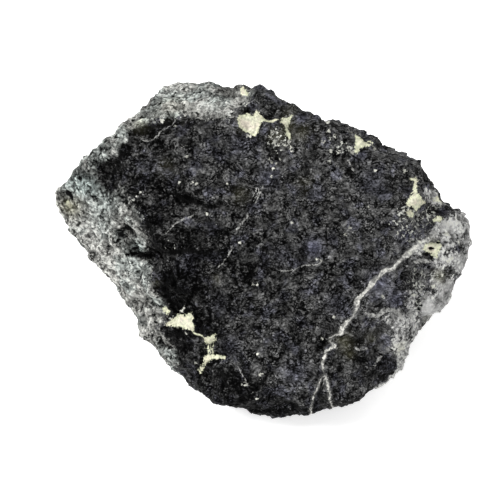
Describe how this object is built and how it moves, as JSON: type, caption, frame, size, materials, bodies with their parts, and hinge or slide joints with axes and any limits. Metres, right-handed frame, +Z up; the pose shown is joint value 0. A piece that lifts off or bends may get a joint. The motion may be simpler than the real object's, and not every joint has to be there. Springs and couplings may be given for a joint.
{
  "type": "chromite ore lump",
  "caption": "Hand-sized lump of chromite ore with a dark granular broken face, grey weathered sides, cream patches and a pale vein.",
  "frame": {"origin": "middle of the bounding box's underside, on the flat patch that the lump rests on", "axes": "+X along the long side, to the right as seen facing the dark broken face; +Y to the back; +Z up"},
  "size_m": [0.083, 0.0658, 0.043],
  "materials": {
    "chromite_ore": "matte"
  },
  "bodies": {
    "root": {"chromite_ore_lump": "chromite_ore"}
  },
  "joints": []
}
